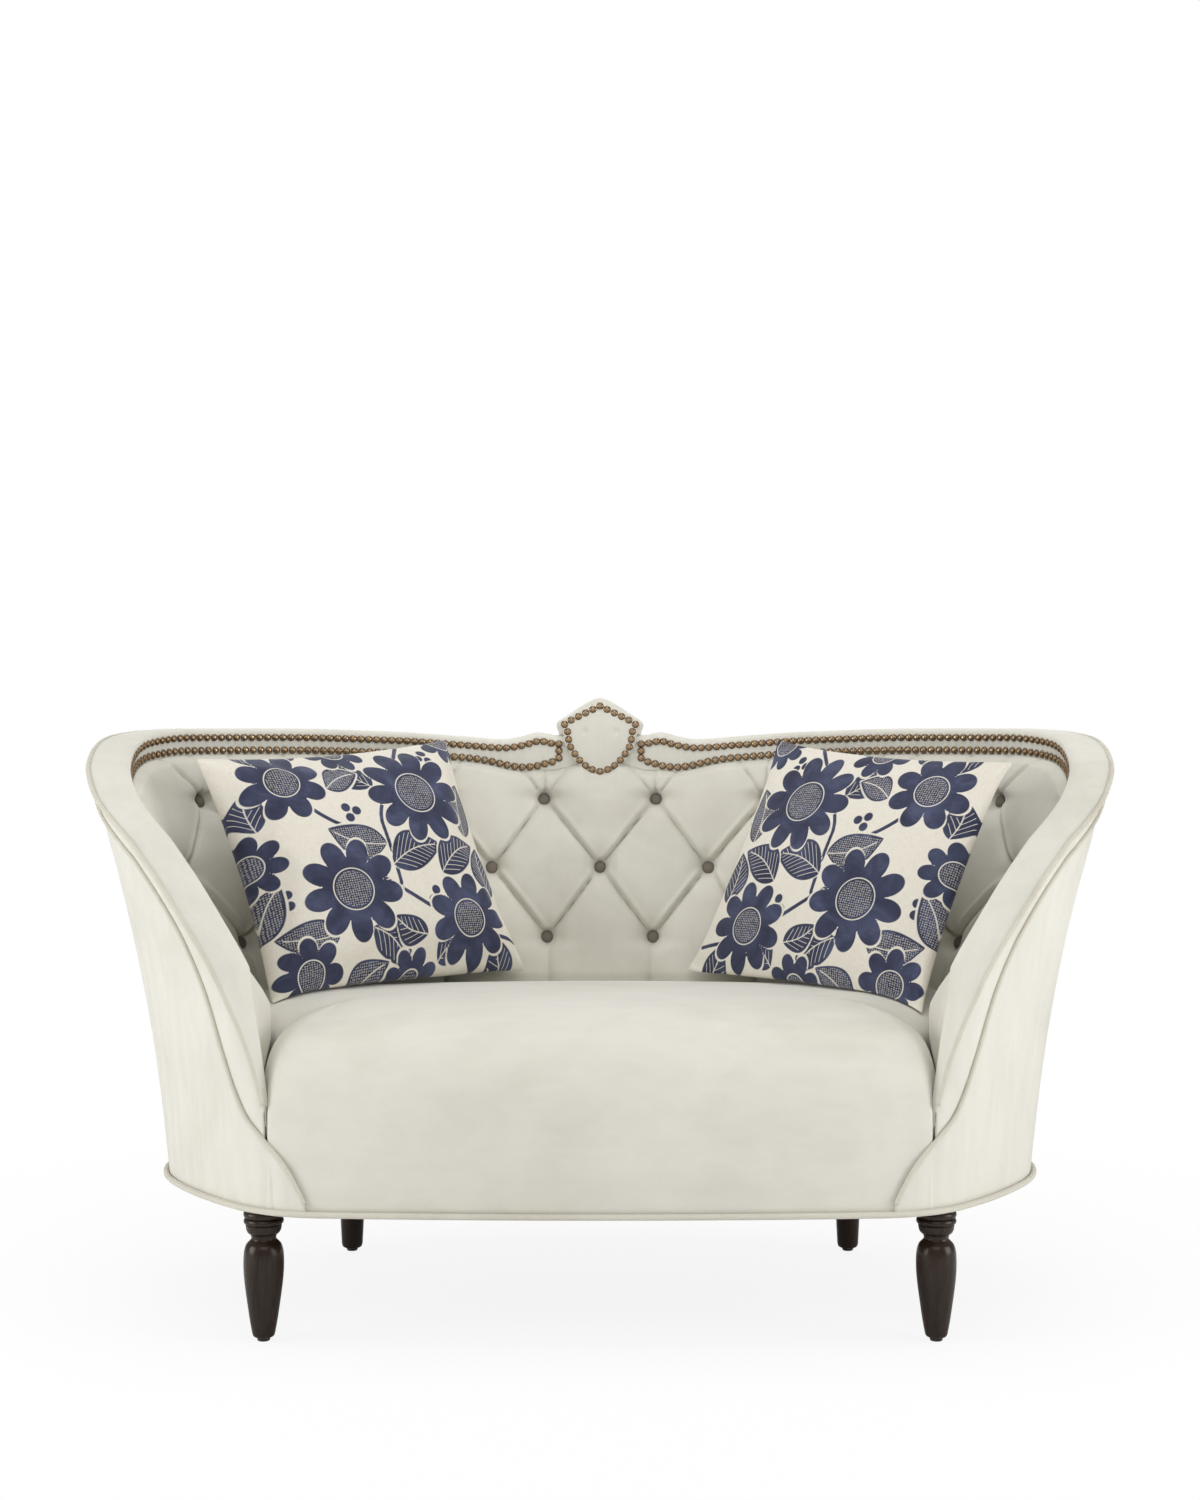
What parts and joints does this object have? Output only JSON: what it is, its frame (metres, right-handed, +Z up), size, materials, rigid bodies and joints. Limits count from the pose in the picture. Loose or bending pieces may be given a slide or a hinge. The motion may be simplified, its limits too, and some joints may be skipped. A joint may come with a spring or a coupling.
{
  "type": "settee",
  "caption": "Small tub settee with flared piped sides, a diamond-tufted inside back, nail-head rows and a shield crest, a tight crowned seat, turned front legs and throw pillows.",
  "frame": {"origin": "middle of the floor under the settee's box", "axes": "+X along the width, -Y to the front where one sits down, +Z up"},
  "size_m": [1.66, 0.8515, 0.949],
  "materials": {
    "velvet": "pale grey-cream cotton velvet, matt with a soft sheen at grazing angles",
    "piping": "cord covered in the same velvet",
    "frame_wood": "planed hardwood, unfinished",
    "leg_wood": "dark espresso stain, satin lacquer",
    "nail_brass": "antique brass, dark round the edge and worn bright on the dome",
    "steel": "plain zinc-plated steel",
    "foam": "open-cell foam",
    "pillow_fill": "fibre fill in a plain lining",
    "pillow_cloth": "ivory linen weave with dark blue leaf and flower sprays",
    "lining": "black spun lining cloth",
    "webbing": "jute webbing",
    "glide": "black nylon"
  },
  "bodies": {
    "settee": {"crest_cover": "velvet", "crest_shield": "velvet", "seat_cover": "velvet", "inside_back": "velvet", "tuft_buttons": "velvet", "nail_band": "velvet", "arm_facing_left": "velvet", "arm_facing_right": "velvet", "rim_band": "velvet", "boxing_strip": "velvet", "outside_back": "velvet", "outside_arm_left": "velvet", "outside_arm_right": "velvet", "rim_piping": "piping", "panel_piping": "piping", "base_piping": "piping", "front_rail": "frame_wood", "rear_rail": "frame_wood", "side_rail_left": "frame_wood", "side_rail_right": "frame_wood", "corner_blocks": "frame_wood", "back_post_centre": "frame_wood", "back_post_left": "frame_wood", "back_post_right": "frame_wood", "side_post_left": "frame_wood", "side_post_right": "frame_wood", "arm_post_left": "frame_wood", "arm_post_right": "frame_wood", "tack_rail": "frame_wood", "top_rail": "frame_wood", "crest_core": "frame_wood", "front_leg_right": "leg_wood", "front_leg_left": "leg_wood", "rear_leg_right": "leg_wood", "rear_leg_left": "leg_wood", "upper_nails": "nail_brass", "lower_nails": "nail_brass", "crest_nails": "nail_brass", "block_screws": "steel", "seat_springs": "steel", "spring_clips": "steel", "leg_bolts": "steel", "leg_nuts": "steel", "seat_foam": "foam", "front_rail_pad": "foam", "back_foam": "foam", "seat_deck": "lining", "dust_cover": "lining", "back_webbing": "webbing", "glides": "glide"},
    "pillow_left": {"pillow_cover_left": "pillow_cloth", "pillow_insert_left": "pillow_fill"},
    "pillow_right": {"pillow_cover_right": "pillow_cloth", "pillow_insert_right": "pillow_fill"}
  },
  "joints": [
    {"name": "pillow_left_lift", "type": "slide", "parent": "settee", "child": "pillow_left", "axis": [0.26, -0.4001, 0.8788], "range_m": [0, 0.45]},
    {"name": "pillow_right_lift", "type": "slide", "parent": "settee", "child": "pillow_right", "axis": [-0.26, -0.4001, 0.8788], "range_m": [0, 0.45]}
  ]
}
